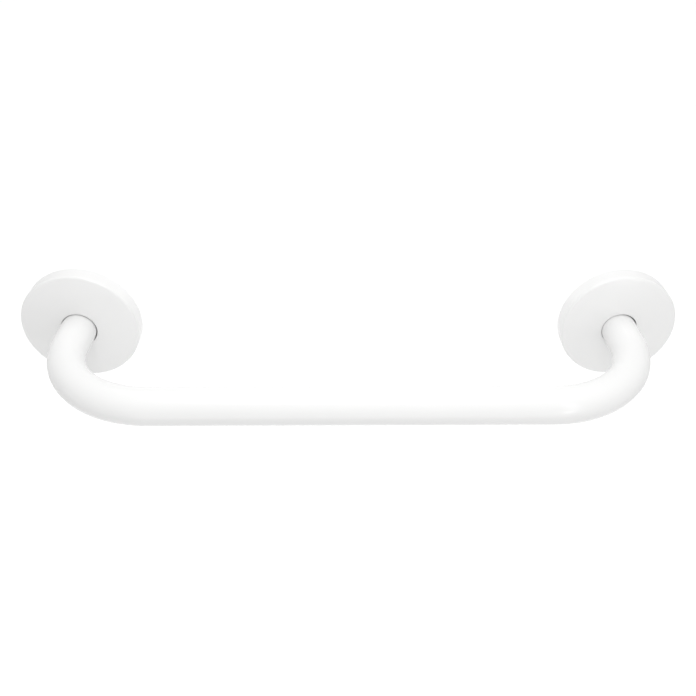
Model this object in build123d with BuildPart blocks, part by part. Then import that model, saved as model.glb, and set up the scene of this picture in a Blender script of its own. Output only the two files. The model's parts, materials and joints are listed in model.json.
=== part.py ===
"""A wall-mounted grab bar with concealed fixings, in millimetres.

One steel tube is bent into a wide U. Each leg passes through a round mounting plate
and is welded to it, and a domed sheet cover slides along the leg and closes over the
plate and its three screw holes.

The wall is the plane Y = 0 and the bar stands out from it towards -Y. X runs along the
bar and Z is up. The origin lies on the wall, midway between the two legs.
"""

import os

from build123d import *

# Driving dimensions of the bent tube
leg_spacing = 400.0
standoff = 105.0
bend_radius = 70.0
tube_diameter = 25.0
tube_wall = 1.5

# Driving dimensions of the covers
cover_diameter = 85.0
cover_depth = 12.5
cover_crown = 3.1
cover_sheet = 1.0
cover_corner_radius = 1.8
cover_edge_radius = 0.3
cover_hole_clearance = 0.5
cover_wall_gap = 0.3

# Driving dimensions of the mounting plates
plate_thickness = 3.0
plate_cover_clearance = 0.3
plate_edge_chamfer = 0.4
weld_gap = 0.1
weld_leg = 3.0
screw_count = 3
screw_hole_diameter = 6.0
screw_edge_distance = 12.2

# Sizes that follow from them
tube_radius = tube_diameter / 2
cover_radius = cover_diameter / 2
plate_radius = cover_radius - cover_sheet - plate_cover_clearance
plate_bore_radius = tube_radius + weld_gap
screw_circle_radius = plate_radius - screw_edge_distance

os.makedirs("parts", exist_ok=True)

# The tube follows its centreline from the left foot, round both bends, to the right foot
left_x = -leg_spacing / 2
right_x = leg_spacing / 2
with BuildPart() as rail_tube:
    with BuildLine() as centreline:
        FilletPolyline(
            (left_x, 0),
            (left_x, -standoff),
            (right_x, -standoff),
            (right_x, 0),
            radius=bend_radius,
        )
    with BuildSketch(Plane(centreline.line @ 0, z_dir=centreline.line % 0)):
        Circle(tube_radius)
        Circle(tube_radius - tube_wall, mode=Mode.SUBTRACT)
    sweep()
rail_tube.part.label = "rail_tube"
export_step(rail_tube.part, "parts/rail_tube.step")

# Both feet carry the same plate and cover, turned so that one screw hole points outwards
for side, leg_x, outwards in (("left", left_x, -1), ("right", right_x, 1)):
    foot = Plane(origin=(leg_x, 0, 0), x_dir=(outwards, 0, 0), z_dir=(0, -1, 0))
    section = Plane(origin=foot.origin, x_dir=foot.x_dir, z_dir=-foot.y_dir)
    leg_axis = Axis(foot.origin, foot.z_dir)

    # The plate is a flat disc, and the weld is a bead round the leg on its front face
    with BuildPart() as mounting_plate:
        with BuildSketch(foot):
            Circle(plate_radius)
        extrude(amount=plate_thickness)
        chamfer(mounting_plate.edges(), length=plate_edge_chamfer)
        with BuildSketch(section):
            with BuildLine():
                Polyline(
                    (plate_bore_radius, plate_thickness),
                    (plate_bore_radius + weld_leg, plate_thickness),
                    (plate_bore_radius, plate_thickness + weld_leg),
                    close=True,
                )
            make_face()
        revolve(axis=leg_axis)
        with Locations(foot):
            Hole(plate_bore_radius)
            with PolarLocations(screw_circle_radius, screw_count):
                Hole(screw_hole_diameter / 2)
    mounting_plate.part.label = f"{side}_mounting_plate"
    export_step(mounting_plate.part, f"parts/{side}_mounting_plate.step")

    # The cover is sheet of one thickness: a straight skirt, a small corner and a domed face
    with BuildPart() as cover:
        with BuildSketch(section):
            with BuildLine() as outer_line:
                skirt = Line((cover_radius, cover_wall_gap), (cover_radius, cover_depth))
                dome_radius = (cover_radius**2 + cover_crown**2) / (2 * cover_crown)
                dome = RadiusArc(skirt @ 1, (0, cover_depth + cover_crown), -dome_radius)
                fillet(outer_line.vertices().group_by(Axis.Y)[1], cover_corner_radius)
                offset(amount=cover_sheet, side=Side.LEFT)
            make_face()
        revolve(axis=leg_axis)
        with Locations(foot):
            Hole(tube_radius + cover_hole_clearance)
        hole_wall = cover.faces().filter_by(GeomType.CYLINDER).sort_by(SortBy.RADIUS)[0]
        skirt_end = cover.faces().filter_by(GeomType.PLANE)[0]
        cut_edges = hole_wall.edges() + skirt_end.edges()
        fillet(cut_edges.filter_by(GeomType.CIRCLE), cover_edge_radius)
    cover.part.label = f"{side}_cover"
    export_step(cover.part, f"parts/{side}_cover.step")
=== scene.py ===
# %% [markdown]
# # A white grab bar
#
# The object is a grab bar for a bathroom wall: one bent steel tube, a screw plate welded
# to each of its feet, and a domed cover on each leg that slides down and hides the plate.
# This lesson loads the bar's solids at their real size and dresses them for a studio
# picture. The solids could be shown as they come, but their triangles follow the
# construction and not the light, so each piece is modelled again in the same place with
# even faces, soft edges and a finish of its own.

# %% Load the solids
import json
import math

import bmesh
import bpy
from mathutils import Matrix, Vector


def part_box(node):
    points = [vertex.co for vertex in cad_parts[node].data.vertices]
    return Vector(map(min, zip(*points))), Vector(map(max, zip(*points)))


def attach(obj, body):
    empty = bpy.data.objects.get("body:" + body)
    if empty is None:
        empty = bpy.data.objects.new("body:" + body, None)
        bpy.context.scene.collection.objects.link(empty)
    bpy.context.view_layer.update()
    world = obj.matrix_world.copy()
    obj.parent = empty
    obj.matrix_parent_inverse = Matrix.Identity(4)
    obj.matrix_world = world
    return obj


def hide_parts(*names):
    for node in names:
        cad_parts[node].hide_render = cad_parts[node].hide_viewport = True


MM = 0.001
QUARTER_TURN = math.radians(90)

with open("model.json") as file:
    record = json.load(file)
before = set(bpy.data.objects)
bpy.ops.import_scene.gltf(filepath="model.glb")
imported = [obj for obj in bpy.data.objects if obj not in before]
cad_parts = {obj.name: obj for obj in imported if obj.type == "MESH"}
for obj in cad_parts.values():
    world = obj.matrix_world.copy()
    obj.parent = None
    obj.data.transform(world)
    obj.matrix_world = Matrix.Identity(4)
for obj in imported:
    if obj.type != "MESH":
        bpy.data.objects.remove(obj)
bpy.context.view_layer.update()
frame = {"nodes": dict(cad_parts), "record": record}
print("solids:", ", ".join(sorted(frame["nodes"])))

# %% [markdown]
# ## The camera
#
# The bar is seen from the front and from above, slightly off its middle. A camera can be
# aimed by eye, but a bar with two round covers gives enough outlines to work the view out:
# the values below put the covers, the bends and the grip where the picture has them. The
# picture is a crop, so its optical centre lies a little right of its middle, and the lens
# shift takes that up.

# %% Set the camera
picture_side = 696
focal_pixels = 751.6
optical_centre_x = 366
sensor_width = 36
camera_place = Vector((-2.6, -482.0, 304.4)) * MM
camera_pitch = math.radians(-34.5)
camera_yaw = math.radians(1.69)
camera_roll = math.radians(0.9)

scene = bpy.context.scene
camera_data = bpy.data.cameras.new("camera")
camera_data.sensor_width = sensor_width
camera_data.lens = focal_pixels / picture_side * sensor_width
camera_data.shift_x = (picture_side / 2 - optical_centre_x) / picture_side
camera = bpy.data.objects.new("camera", camera_data)
camera.matrix_world = (
    Matrix.Translation(camera_place)
    @ Matrix.Rotation(-camera_yaw, 4, "Z")
    @ Matrix.Rotation(QUARTER_TURN + camera_pitch, 4, "X")
    @ Matrix.Rotation(camera_roll, 4, "Z")
)
scene.collection.objects.link(camera)
scene.camera = camera
print("camera lens in mm:", round(camera_data.lens, 1))

# %% [markdown]
# ## Writing finishes as sums
#
# A finish is a tree of shader nodes. Adding each Math node by hand takes five lines and
# hides the formula, so a small class wraps a socket and lets Python's own operators add
# the nodes. Every other node comes from one method, which sets the node's settings first
# and then fills or links its sockets by their identifiers.


# %% Wrap sockets and nodes
class Level:
    """A value that varies over a surface. Arithmetic on it adds Math nodes."""

    def __init__(self, finish, socket):
        self.finish = finish
        self.socket = socket

    def math(self, operation, first, second):
        values = {"Value": first, "Value_001": second}
        return self.finish.node("ShaderNodeMath", {"operation": operation}, values)["Value"]

    def __add__(self, other):
        return self.math("ADD", self, other)

    def __sub__(self, other):
        return self.math("SUBTRACT", self, other)

    def __rsub__(self, other):
        return self.math("SUBTRACT", other, self)

    def __mul__(self, other):
        return self.math("MULTIPLY", self, other)

    __radd__ = __add__
    __rmul__ = __mul__


class Finish:
    """A material, with one method that adds a node to it."""

    def __init__(self, name):
        self.material = bpy.data.materials.new(name)
        self.material.use_nodes = True
        self.tree = self.material.node_tree
        self.tree.nodes.clear()

    def node(self, kind, settings, values):
        """Adds a node and returns its outputs by their identifiers."""
        made = self.tree.nodes.new(kind)
        for name, setting in settings.items():
            setattr(made, name, setting)
        sockets = {socket.identifier: socket for socket in made.inputs}
        for name, value in values.items():
            if isinstance(value, Level):
                self.tree.links.new(value.socket, sockets[name])
            else:
                sockets[name].default_value = value
        return {socket.identifier: Level(self, socket) for socket in made.outputs}

    def place(self):
        """The place on the object, in metres."""
        return self.node("ShaderNodeTexCoord", {}, {})["Object"]

    def cloud(self, place, spot_size, detail):
        """Soft noise from 0 to 1 with spots of the given size, in metres."""
        values = {"Vector": place, "Scale": 1 / spot_size, "Detail": detail}
        return self.node("ShaderNodeTexNoise", {}, values)["Fac"]

    def mix(self, share, first, second):
        """A colour between two others."""
        values = {"Factor_Float": share, "A_Color": first, "B_Color": second}
        return self.node("ShaderNodeMix", {"data_type": "RGBA"}, values)["Result_Color"]

    def show(self, values):
        """Sends a Principled shader with these values to the output."""
        shader = self.node("ShaderNodeBsdfPrincipled", {}, values)["BSDF"]
        self.node("ShaderNodeOutputMaterial", {}, {"Surface": shader})
        return self.material


print("finish helpers ready")

# %% [markdown]
# ## The studio
#
# The bar hangs in the air as it would on its wall, with a plain pale floor as far below as
# a bathroom's. One strong lamp could light it all, but white paint needs tones to show its
# shape, so each light has a task of its own. A white room gives light from everywhere. A
# wide wash behind the bar and a narrow one below it lift the floor just to pure white:
# any more would eat into the bar's soft edges. A softbox and a top light brighten all
# that faces up, a weak light from behind lets the bar's upper edge fade into the white,
# and a weak fill lifts the underside. A tall strip and a small lamp lift the right side
# and leave a hooked glint on the right bend. Standard colour keeps white as white, where
# a filmic curve would turn it grey.

# %% Lay the floor
mounting_height = 0.85
floor_reach = 15.0

floor_finish = Finish("pale_floor")
floor_paint = floor_finish.show({"Base Color": (0.9, 0.9, 0.9, 1), "Roughness": 0.9})
floor_shape = bmesh.new()
bmesh.ops.create_grid(
    floor_shape,
    x_segments=1,
    y_segments=1,
    size=floor_reach,
    matrix=Matrix.Translation((0, 0, -mounting_height)),
)
floor_mesh = bpy.data.meshes.new("floor")
floor_shape.to_mesh(floor_mesh)
floor_shape.free()
floor_mesh.materials.append(floor_paint)
floor = bpy.data.objects.new("floor", floor_mesh)
scene.collection.objects.link(floor)
print("floor", mounting_height, "m below the bar")


# %% Hang the lights
def soft_light(name, place, aim, size, power, spread=180):
    """An area light at a place, turned towards a point, that spreads by some degrees."""
    lamp = bpy.data.lights.new(name, "AREA")
    lamp.shape = "RECTANGLE"
    lamp.size, lamp.size_y = size
    lamp.energy = power
    lamp.spread = math.radians(spread)
    light = bpy.data.objects.new(name, lamp)
    light.location = place
    light.rotation_euler = (Vector(aim) - Vector(place)).to_track_quat("-Z", "Y").to_euler()
    light.visible_camera = False
    scene.collection.objects.link(light)
    print(name, "gives", power, "W")


room_brightness = 0.735
room = bpy.data.worlds.new("white_room")
room.use_nodes = True
room.node_tree.nodes["Background"].inputs["Color"].default_value = (1, 1, 1, 1)
room.node_tree.nodes["Background"].inputs["Strength"].default_value = room_brightness
scene.world = room
scene.view_settings.view_transform = "Standard"

soft_light("floor_wash", place=(0, 4.8, 2.0), aim=(0, 4.8, 0), size=(10.0, 9.0), power=120, spread=30)
soft_light("near_wash", place=(0, 0.05, -0.25), aim=(0, 0.05, -0.85), size=(3.0, 0.9), power=1.23, spread=60)
soft_light("softbox", place=(0.01, -0.29, 0.50), aim=(0, -0.08, 0), size=(0.4, 0.25), power=1.146)
soft_light("top_light", place=(0, 0.55, 1.15), aim=(0, -0.05, 0), size=(1.2, 0.6), power=2.48)
soft_light("back_light", place=(0, 0.7, 0.12), aim=(0, -0.05, 0), size=(1.2, 0.3), power=0.45)
soft_light("low_fill", place=(0, -0.9, -0.35), aim=(0, -0.05, 0), size=(1.0, 0.4), power=0.605)
soft_light("glint_strip", place=(0.66, -1.02, 0.42), aim=(0.137, -0.115, 0), size=(0.16, 0.8), power=0.8)
soft_light("glint_lamp", place=(0.58, -1.06, -0.09), aim=(0.134, -0.117, 0), size=(0.16, 0.19), power=0.6)

# %% [markdown]
# ## Cards beside the bar
#
# Gloss mirrors whatever stands beside it. Left alone, the bends would mirror the brilliant
# floor behind them and lose their outline against it. A photographer stands cards there,
# and so does this cell: each card shows only in reflections, where it is a shade less
# bright than the floor.


# %% Stand the cards
def side_card(name, place, width, height):
    """An upright pale card along Y that shows only in the gloss."""
    tone = 0.85
    half_side = 0.5
    shape = bmesh.new()
    upright = Matrix.Translation(place) @ Matrix.Rotation(QUARTER_TURN, 4, "Y")
    bmesh.ops.create_grid(shape, x_segments=1, y_segments=1, size=half_side)
    bmesh.ops.scale(shape, vec=(height, width, 1), verts=shape.verts)
    bmesh.ops.transform(shape, matrix=upright, verts=shape.verts)
    mesh = bpy.data.meshes.new(name)
    shape.to_mesh(mesh)
    shape.free()
    paper = Finish(name)
    mesh.materials.append(paper.show({"Base Color": (tone, tone, tone, 1), "Roughness": 0.9}))
    card = bpy.data.objects.new(name, mesh)
    card.visible_camera = False
    card.visible_diffuse = False
    card.visible_shadow = False
    scene.collection.objects.link(card)
    print(name, "stands at", place)


side_card("left_card", (-0.9, 0.2, -0.15), width=1.7, height=1.1)
side_card("right_card", (0.9, 0.2, -0.15), width=1.7, height=1.1)

# %% [markdown]
# ## The finishes
#
# The tube and its plates are welded and then coated together with white powder, which is
# baked to a hard gloss. A plain white shader would look like plastic, because close up
# such a coat isn't flat: it has a faint skin like orange peel, and its gloss and tone
# drift a little as its thickness does. Soft noise of three sizes gives all of that. The
# covers take the same powder with a slightly softer gloss. Powder hardly reaches into the
# tube, so the bore stays bare steel, dull and blotchy, with drawing marks along it.


# %% Mix the powder coat
def powder_coat(name, roughness, peel_depth):
    """White baked powder with a fine peel and a gloss that drifts a little."""
    thin_white = (0.845, 0.845, 0.84, 1)
    full_white = (0.86, 0.86, 0.858, 1)
    roughness_drift = 0.06
    drift_size = 45 * MM
    peel_size = 2.6 * MM
    grit_size = 0.7 * MM
    grit_share = 0.2
    coat = Finish(name)
    place = coat.place()
    drift = coat.cloud(place, drift_size, detail=2)
    peel = coat.cloud(place, peel_size, detail=1)
    grit = coat.cloud(place, grit_size, detail=1)
    skin = (1 - grit_share) * peel + grit_share * grit
    surface = {"Strength": 1, "Distance": peel_depth, "Height": skin}
    return coat.show(
        {
            "Base Color": coat.mix(drift, thin_white, full_white),
            "Roughness": roughness + roughness_drift * (drift - 0.5),
            "IOR": 1.5,
            "Normal": coat.node("ShaderNodeBump", {}, surface)["Normal"],
        }
    )


rail_coat = powder_coat("rail_gloss_coat", roughness=0.2, peel_depth=0.012 * MM)
plate_coat = powder_coat("plate_gloss_coat", roughness=0.24, peel_depth=0.022 * MM)
cover_coat = powder_coat("cover_satin_coat", roughness=0.24, peel_depth=0.014 * MM)
print("coats:", rail_coat.name, plate_coat.name, cover_coat.name)


# %% Mix the bare steel
def bare_steel(name):
    """Dull drawn steel, with marks along Y, the way the feet of the tube run."""
    dark_steel = (0.4, 0.39, 0.38, 1)
    light_steel = (0.62, 0.61, 0.6, 1)
    mark_width = 0.35 * MM
    mark_stretch = (1, 0.04, 1)
    blotch_size = 9 * MM
    steel = Finish(name)
    place = steel.place()
    stretched = {"Vector": place, "Scale": mark_stretch}
    along = steel.node("ShaderNodeMapping", {}, stretched)["Vector"]
    marks = steel.cloud(along, mark_width, detail=2)
    blotches = steel.cloud(place, blotch_size, detail=3)
    return steel.show(
        {
            "Base Color": steel.mix(0.5 * marks + 0.5 * blotches, dark_steel, light_steel),
            "Roughness": 0.6 - 0.2 * blotches,
            "Metallic": 0.15 + 0.4 * blotches,
        }
    )


bore_steel = bare_steel("bore_bare_steel")
print("bore:", bore_steel.name)

# %% [markdown]
# ## From a bmesh to a piece
#
# Every piece ends the same way: its shape becomes a mesh with smooth faces, its object
# stays at the origin with its place in the mesh, and it rides on a body and stands for a
# solid. A weighted normal keeps the large faces calm, because without it the small rounded
# edges would bend the shading of their wide neighbours.


# %% Finish a piece
def finished_piece(name, shape, materials, body, solid):
    """Turns a bmesh into an object that rides on a body and stands for a solid."""
    mesh = bpy.data.meshes.new(name)
    shape.to_mesh(mesh)
    shape.free()
    mesh.shade_smooth()
    for material in materials:
        mesh.materials.append(material)
    piece = bpy.data.objects.new(name, mesh)
    scene.collection.objects.link(piece)
    weighted = piece.modifiers.new("calm_large_faces", "WEIGHTED_NORMAL")
    weighted.weight = 100
    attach(piece, body)
    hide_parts(solid)
    print(name, "has", len(mesh.polygons), "faces")


def round_corners(shape, radius):
    """Rounds every edge where two faces meet at a sharp corner."""
    sharp = math.radians(60)
    corners = [edge for edge in shape.edges if edge.is_manifold and edge.calc_face_angle() > sharp]
    bmesh.ops.bevel(
        shape,
        geom=corners,
        offset=radius,
        offset_type="OFFSET",
        affect="EDGES",
        segments=3,
        profile=0.5,
        material=-1,
    )


print("piece helpers ready")

# %% [markdown]
# ## The bent tube
#
# The tube starts as a straight length of steel. A machine holds one end, wraps the tube
# round a former for each bend, and the feet are cut off square. It could be a curve with a
# round bevel, but a ring of edges can go through the same steps as the steel: pull it
# along a straight, spin it round a bend. That draws the outside. The wall then grows
# inwards from it, which opens the bore at both feet, and the cuts get a small rounded
# edge, as after deburring.

# %% Read the tube's sizes from its solid
tube_low, tube_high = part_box("rail_tube")
tube_radius = tube_high.z
tube_wall = 1.5 * MM
bend_radius = 70 * MM
leg_x = tube_high.x - tube_radius
standoff = -tube_low.y - tube_radius
leg_length = standoff - bend_radius
grip_length = 2 * (leg_x - bend_radius)
print("legs", round(2 * leg_x / MM), "mm apart, grip", round(standoff / MM), "mm off the wall")

# %% Bend a skin of the tube
tube_segments = 96
bend_steps = 48


def ring_verts(edges):
    """The vertices of a ring of edges, each once and always in the same order."""
    return list(dict.fromkeys(vert for edge in edges for vert in edge.verts))


def pull_ring(shape, ring, step):
    """Extrudes a ring of edges by a straight step and returns the ring at its end."""
    made = bmesh.ops.extrude_edge_only(shape, edges=ring)["geom"]
    moved = [part for part in made if isinstance(part, bmesh.types.BMVert)]
    bmesh.ops.translate(shape, verts=moved, vec=step)
    return [
        part
        for part in made
        if isinstance(part, bmesh.types.BMEdge) and all(vert in moved for vert in part.verts)
    ]


def bend_ring(shape, ring, centre):
    """Spins a ring of edges by a quarter turn and returns the ring at its end."""
    made = bmesh.ops.spin(
        shape,
        geom=ring_verts(ring) + ring,
        cent=centre,
        axis=(0, 0, 1),
        angle=QUARTER_TURN,
        steps=bend_steps,
        use_duplicate=False,
    )["geom_last"]
    return [part for part in made if isinstance(part, bmesh.types.BMEdge)]


def bent_skin():
    """Draws the outside of the tube from the left foot, round both bends, to the right foot."""
    shape = bmesh.new()
    foot = Matrix.Translation((-leg_x, 0, 0)) @ Matrix.Rotation(QUARTER_TURN, 4, "X")
    bmesh.ops.create_circle(shape, segments=tube_segments, radius=tube_radius, matrix=foot)
    ring = pull_ring(shape, shape.edges[:], (0, -leg_length, 0))
    ring = bend_ring(shape, ring, (-grip_length / 2, -leg_length, 0))
    ring = pull_ring(shape, ring, (grip_length, 0, 0))
    ring = bend_ring(shape, ring, (grip_length / 2, -leg_length, 0))
    pull_ring(shape, ring, (0, leg_length, 0))
    bmesh.ops.recalc_face_normals(shape, faces=shape.faces)
    return shape


tube_shape = bent_skin()
print("outside of", len(tube_shape.faces), "faces")

# %% Give the wall its thickness and deburr the cut ends
cut_rounding = 0.3 * MM
bore_slot = 1
bore = bmesh.ops.solidify(tube_shape, geom=tube_shape.faces[:], thickness=tube_wall)["geom"]
for part in bore:
    if isinstance(part, bmesh.types.BMFace):
        part.material_index = bore_slot
round_corners(tube_shape, cut_rounding)
tube_coats = [rail_coat, bore_steel]
finished_piece("bent_tube", tube_shape, tube_coats, "rail", "rail_tube")

# %% [markdown]
# ## The mounting plates
#
# Each leg ends in a flat steel disc with three screw holes, which the cover hides. Such a
# disc is cut from sheet in one go, so it is drawn the same way: circles for its rim, its
# bore and its holes, a fill between them, and a push to the sheet's thickness. Cutting
# holes with booleans would work too, but leaves stray slivers round each hole. Pieces for
# a foot are made lying flat and then stood up round their leg, and the left ones are
# turned half round, so that one screw hole points outwards on both.

# %% Stand pieces on the feet
feet = {"left": (-leg_x, math.pi), "right": (leg_x, 0)}


def stand_on_foot(shape, foot_x, turn):
    """Turns a shape about its own axis and stands it on the wall round a leg."""
    place = (
        Matrix.Translation((foot_x, 0, 0))
        @ Matrix.Rotation(QUARTER_TURN, 4, "X")
        @ Matrix.Rotation(turn, 4, "Z")
    )
    bmesh.ops.transform(shape, matrix=place, verts=shape.verts)


print("feet at", [round(foot_x / MM) for foot_x, turn in feet.values()], "mm from the middle")

# %% Read the plate's sizes from its solid and its mount
plate_low, plate_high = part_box("right_mounting_plate")
plate_radius = (plate_high.z - plate_low.z) / 2
plate_thickness = 3 * MM
plate_rounding = 0.4 * MM
weld_gap = 0.1 * MM
plate_bore = tube_radius + weld_gap
mounts = {mount["name"]: mount["dims"] for mount in frame["record"]["mounts"]}
screws = mounts["right_plate_screws"]
screw_circle = screws["pcd_mm"] / 2 * MM
screw_hole = screws["hole_r_mm"] * MM
print(screws["count"], "screw holes on a circle of", round(2 * screw_circle / MM), "mm")

# %% Cut the plates
rim_segments = 160
hole_segments = 48


def drilled_plate():
    """Draws the disc with its bore and screw holes, and pushes it to its thickness."""
    shape = bmesh.new()
    bmesh.ops.create_circle(shape, segments=rim_segments, radius=plate_radius)
    bmesh.ops.create_circle(shape, segments=tube_segments, radius=plate_bore)
    for number in range(screws["count"]):
        turn = Matrix.Rotation(number * math.tau / screws["count"], 4, "Z")
        place = turn @ Matrix.Translation((screw_circle, 0, 0))
        bmesh.ops.create_circle(shape, segments=hole_segments, radius=screw_hole, matrix=place)
    bmesh.ops.triangle_fill(shape, edges=shape.edges[:], use_beauty=True)
    made = bmesh.ops.extrude_face_region(shape, geom=shape.faces[:])["geom"]
    front = [part for part in made if isinstance(part, bmesh.types.BMVert)]
    bmesh.ops.translate(shape, verts=front, vec=(0, 0, plate_thickness))
    bmesh.ops.recalc_face_normals(shape, faces=shape.faces)
    round_corners(shape, plate_rounding)
    return shape


for side, (foot_x, turn) in feet.items():
    plate_shape = drilled_plate()
    stand_on_foot(plate_shape, foot_x, turn)
    solid = f"{side}_mounting_plate"
    finished_piece(f"{side}_drilled_plate", plate_shape, [plate_coat], "rail", solid)

# %% [markdown]
# ## The welds
#
# A weld runs round each leg where it meets the plate. A torch lays it as a row of small
# pools that freeze one over the other, so the bead is slightly round across and rippled
# along, with the ripples bowed the way the torch went. A smooth ring would do from afar,
# but the welds show when a cover is slid away, so a rounded section is spun round the leg
# and each of its points is drawn in a little between the pools.

# %% Lay the weld beads
weld_leg = 3 * MM
arc_setback = 3 * MM
arc_steps = 8
pool_count = 44
pool_steps = 8
pool_depth = 0.11
pool_bow = 1.1
merge_distance = 0.001 * MM
root_width = 0.01 * MM


def bead_section(shape):
    """Draws the bead's section: a flat arc from toe to toe, closed at the corner."""
    corner = Vector((plate_bore, 0, plate_thickness))
    centre = corner - Vector((arc_setback, 0, arc_setback))
    toe_angle = math.atan(arc_setback / (arc_setback + weld_leg))
    bmesh.ops.spin(
        shape,
        geom=[shape.verts.new(corner + Vector((weld_leg, 0, 0)))],
        cent=centre,
        axis=(0, -1, 0),
        angle=QUARTER_TURN - 2 * toe_angle,
        steps=arc_steps,
    )
    ends = [vert for vert in shape.verts if len(vert.link_edges) == 1]
    root = shape.verts.new(corner)
    for end in ends:
        shape.edges.new((root, end))


def rippled_bead():
    """Spins the section round the leg and sinks it between the pools."""
    shape = bmesh.new()
    bead_section(shape)
    bmesh.ops.spin(
        shape,
        geom=shape.verts[:] + shape.edges[:],
        cent=(0, 0, 0),
        axis=(0, 0, 1),
        angle=math.tau,
        steps=pool_count * pool_steps,
        use_merge=True,
    )
    bmesh.ops.remove_doubles(shape, verts=shape.verts, dist=merge_distance)
    bmesh.ops.recalc_face_normals(shape, faces=shape.faces)
    for vert in shape.verts:
        around = math.atan2(vert.co.y, vert.co.x)
        root = Vector((math.cos(around) * plate_bore, math.sin(around) * plate_bore, plate_thickness))
        arm = vert.co - root
        if arm.length > root_width:
            across = 2 * math.asin(min(1, max(0, arm.z / arm.length))) / QUARTER_TURN - 1
            phase = pool_count * around / 2 + pool_bow * across**2
            vert.co = root + arm * (1 - pool_depth * (1 - abs(math.sin(phase))))
    return shape


for side, (foot_x, turn) in feet.items():
    bead_shape = rippled_bead()
    stand_on_foot(bead_shape, foot_x, turn)
    solid = f"{side}_mounting_plate"
    finished_piece(f"{side}_weld_bead", bead_shape, [plate_coat], "rail", solid)

# %% [markdown]
# ## The covers
#
# Each cover is pressed from thin sheet: a slightly domed face, a tight corner and a short
# straight skirt, with a hole that slides on the leg. A cut-out sphere would give the dome
# alone, so the cover is spun instead, like a bowl on a lathe: one vertex is spun into the
# dome's line, pulled down into the skirt and rounded at the corner, and that line is spun
# round the leg. The sheet's thickness comes last, and then the cut edges are rounded. A
# cover has a little play on its plate and its leg. Both lie a touch to the upper right in
# it, which opens the dark gap round the leg on that side and narrows it on the other.

# %% Read the cover's sizes from its solid
cover_low, cover_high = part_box("right_cover")
cover_radius = (cover_high.z - cover_low.z) / 2
skirt_start = -cover_high.y
cover_depth = 12.5 * MM
cover_crown = 3.1 * MM
cover_sheet = 1.0 * MM
corner_radius = 1.8 * MM
hole_clearance = 0.5 * MM
hole_radius = tube_radius + hole_clearance
cover_play = Vector((0.23, 0, 0.1)) * MM
dome_radius = (cover_radius**2 + cover_crown**2) / (2 * cover_crown)
dome_centre = Vector((0, 0, cover_depth + cover_crown - dome_radius))
print("cover", round(2 * cover_radius / MM), "mm across, dome radius", round(dome_radius / MM), "mm")

# %% Spin a cover
dome_steps = 14
corner_steps = 8


def cover_line(shape):
    """Draws the outside of the cover from the hole's edge to the end of the skirt."""
    hole_angle = math.asin(hole_radius / dome_radius)
    rim_angle = math.asin(cover_radius / dome_radius)
    start = dome_centre + dome_radius * Vector((math.sin(hole_angle), 0, math.cos(hole_angle)))
    dome = bmesh.ops.spin(
        shape,
        geom=[shape.verts.new(start)],
        cent=dome_centre,
        axis=(0, 1, 0),
        angle=rim_angle - hole_angle,
        steps=dome_steps,
    )["geom_last"]
    rim = [part for part in dome if isinstance(part, bmesh.types.BMVert)]
    skirt = bmesh.ops.extrude_vert_indiv(shape, verts=rim)["verts"]
    bmesh.ops.translate(shape, verts=skirt, vec=(0, 0, skirt_start - cover_depth))
    corner_turn = QUARTER_TURN - rim_angle
    bmesh.ops.bevel(
        shape,
        geom=rim,
        offset=corner_radius * math.tan(corner_turn / 2),
        offset_type="OFFSET",
        affect="VERTICES",
        segments=corner_steps,
        profile=0.5,
        material=-1,
    )


def spun_cover():
    """Spins the cover's line round the leg and gives the sheet its thickness."""
    shape = bmesh.new()
    cover_line(shape)
    bmesh.ops.spin(
        shape,
        geom=shape.verts[:] + shape.edges[:],
        cent=(0, 0, 0),
        axis=(0, 0, 1),
        angle=math.tau,
        steps=rim_segments,
        use_merge=True,
    )
    bmesh.ops.remove_doubles(shape, verts=shape.verts, dist=merge_distance)
    bmesh.ops.recalc_face_normals(shape, faces=shape.faces)
    bmesh.ops.solidify(shape, geom=shape.faces[:], thickness=cover_sheet)
    round_corners(shape, cut_rounding)
    return shape


for side, (foot_x, turn) in feet.items():
    cover_shape = spun_cover()
    stand_on_foot(cover_shape, foot_x, turn)
    bmesh.ops.translate(cover_shape, verts=cover_shape.verts, vec=cover_play)
    solid = f"{side}_cover"
    finished_piece(f"{side}_domed_cover", cover_shape, [cover_coat], solid, solid)
